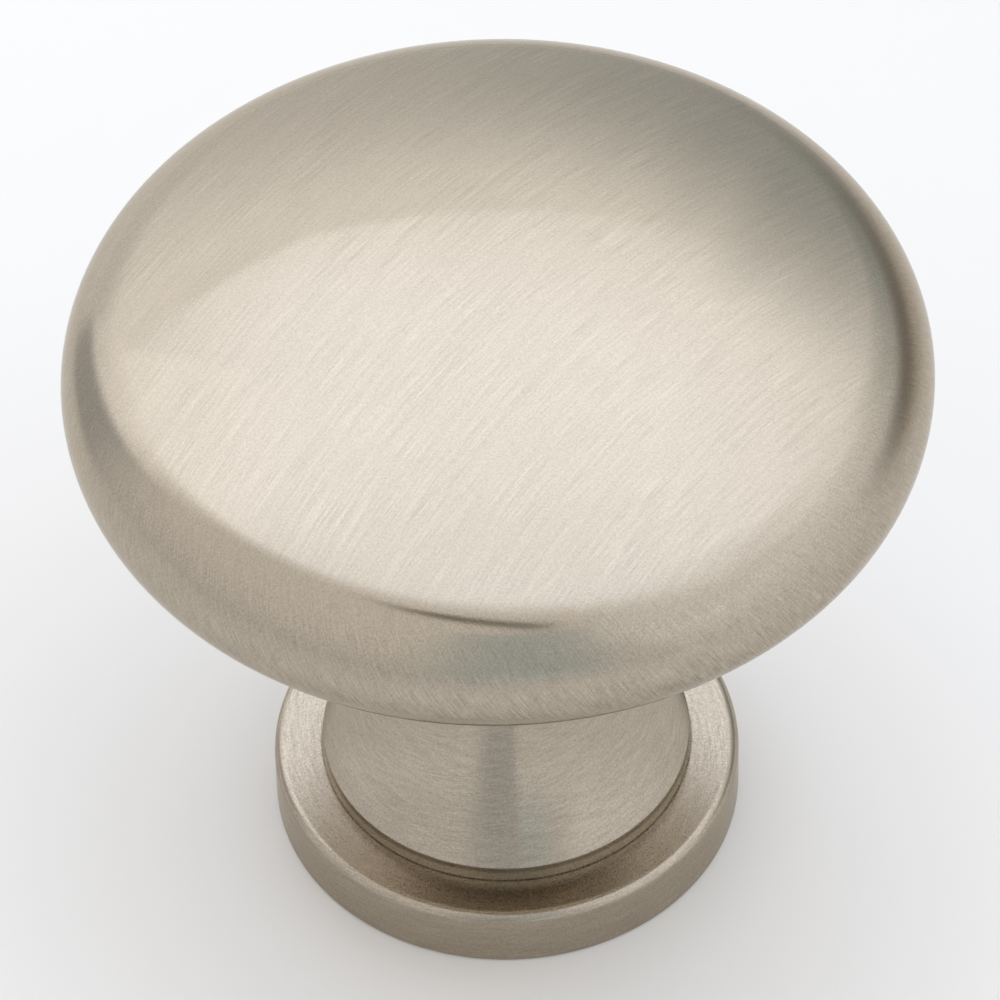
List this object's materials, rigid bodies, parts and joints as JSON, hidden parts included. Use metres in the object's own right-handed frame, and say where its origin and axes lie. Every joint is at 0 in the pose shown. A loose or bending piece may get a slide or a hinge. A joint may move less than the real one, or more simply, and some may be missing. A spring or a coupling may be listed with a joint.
{
  "type": "cabinet knob",
  "caption": "Round mushroom cabinet knob with a domed cap, a waisted flared stem and a stepped base ring, held by a screw from behind into a blind tapped hole.",
  "frame": {"origin": "centre of the base's flat underside, on the knob's axis, where the knob meets the door", "axes": "+Z along the knob's axis, away from the door and towards the top of the cap; X and Y lie in the underside and are alike"},
  "size_m": [0.032, 0.032, 0.0287],
  "materials": {
    "satin_nickel": "brushed satin nickel plating on die-cast zinc alloy"
  },
  "bodies": {
    "root": {"knob_body": "satin_nickel"}
  },
  "joints": []
}
